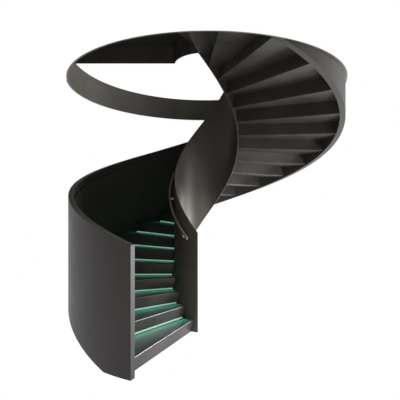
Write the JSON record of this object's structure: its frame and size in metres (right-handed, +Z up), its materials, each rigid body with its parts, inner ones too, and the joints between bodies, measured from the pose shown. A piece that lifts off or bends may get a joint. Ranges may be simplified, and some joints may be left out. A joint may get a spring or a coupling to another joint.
{
  "type": "spiral staircase",
  "caption": "Helical stair between a thick outer wall and a thin inner wall round an open well, with folded steel steps, lit risers, a landing and a ceiling opening ring.",
  "frame": {"origin": "middle of the foot plate's underside, on the floor under the first tread", "axes": "+Z up, -Y towards the front, where one faces the stair with the flight rising clockwise from above; the landing guard runs along X"},
  "size_m": [3.638, 3.638, 4.967],
  "materials": {
    "blackened_steel_steps": "satin",
    "outer_wall_steel": "satin",
    "capping_steel": "satin",
    "inner_wall_steel": "satin",
    "ring_steel": "satin",
    "bronze": "satin, dark bronze patina",
    "light_diffuser": "matte opal",
    "foot_steel": "satin"
  },
  "bodies": {
    "root": {"foot_plate": "foot_steel", "step_01": "blackened_steel_steps", "step_02": "blackened_steel_steps", "step_03": "blackened_steel_steps", "step_04": "blackened_steel_steps", "step_05": "blackened_steel_steps", "step_06": "blackened_steel_steps", "step_07": "blackened_steel_steps", "step_08": "blackened_steel_steps", "step_09": "blackened_steel_steps", "step_10": "blackened_steel_steps", "step_11": "blackened_steel_steps", "step_12": "blackened_steel_steps", "step_13": "blackened_steel_steps", "step_14": "blackened_steel_steps", "step_15": "blackened_steel_steps", "step_16": "blackened_steel_steps", "step_17": "blackened_steel_steps", "step_18": "blackened_steel_steps", "step_19": "blackened_steel_steps", "step_20": "blackened_steel_steps", "step_21": "blackened_steel_steps", "step_22": "blackened_steel_steps", "step_23": "blackened_steel_steps", "landing": "blackened_steel_steps", "light_strips": "light_diffuser", "outer_wall_1": "outer_wall_steel", "outer_wall_2": "outer_wall_steel", "outer_wall_3": "outer_wall_steel", "outer_wall_4": "outer_wall_steel", "outer_wall_5": "outer_wall_steel", "outer_wall_end": "outer_wall_steel", "outer_capping": "capping_steel", "inner_wall_1": "inner_wall_steel", "inner_wall_2": "inner_wall_steel", "inner_wall_3": "inner_wall_steel", "inner_wall_4": "inner_wall_steel", "landing_guard_turn": "inner_wall_steel", "landing_guard": "inner_wall_steel", "handrail": "bronze", "handrail_brackets": "bronze", "opening_ring_1": "ring_steel", "opening_ring_2": "ring_steel", "opening_ring_3": "ring_steel", "opening_ring_4": "ring_steel"}
  },
  "joints": []
}
